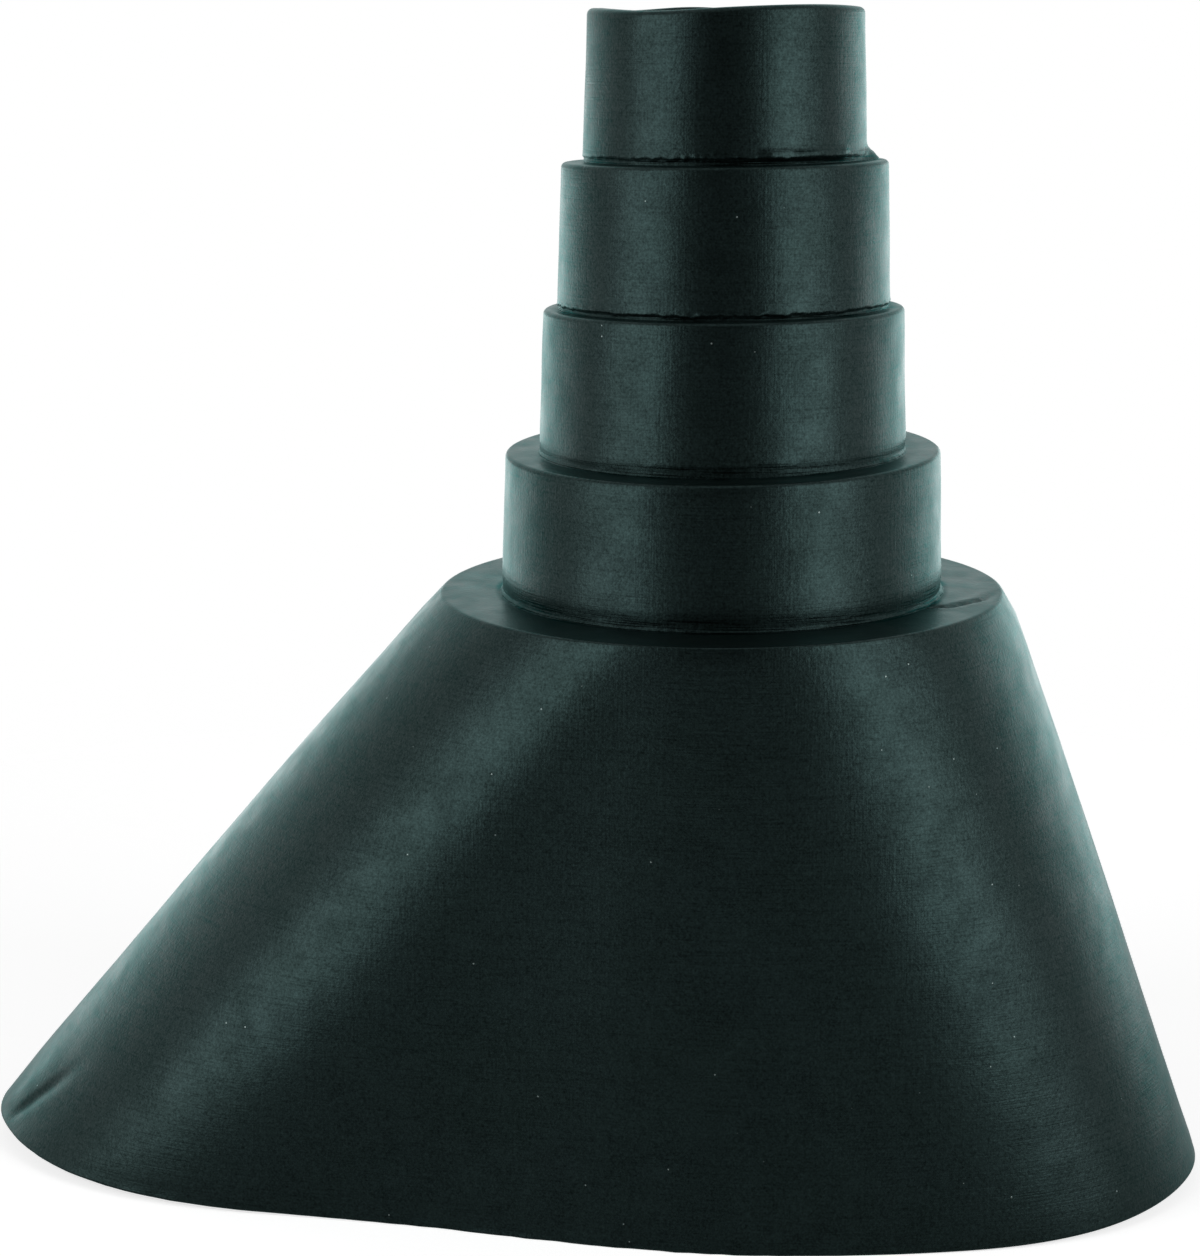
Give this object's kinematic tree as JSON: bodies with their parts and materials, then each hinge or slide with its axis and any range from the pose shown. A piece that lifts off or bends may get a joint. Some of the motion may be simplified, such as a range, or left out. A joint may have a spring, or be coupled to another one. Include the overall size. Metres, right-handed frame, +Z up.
{
  "type": "pipe flashing boot",
  "caption": "One-piece rubber boot that seals a mast or pipe through a pitched roof: stepped cuffs above a hollow skirt with an egg-shaped mouth.",
  "frame": {"origin": "on the mast's axis, level with the flat ledge from which the cuffs rise", "axes": "+Z up along the mast's axis through the narrowest cuff, +X along the skirt towards its short nose, with the long tail towards -X"},
  "size_m": [0.1911, 0.0866, 0.1747],
  "materials": {
    "rubber": "moulded EPDM rubber, satin black with a cold green-grey tint"
  },
  "bodies": {
    "root": {"boot": "rubber"}
  },
  "joints": []
}
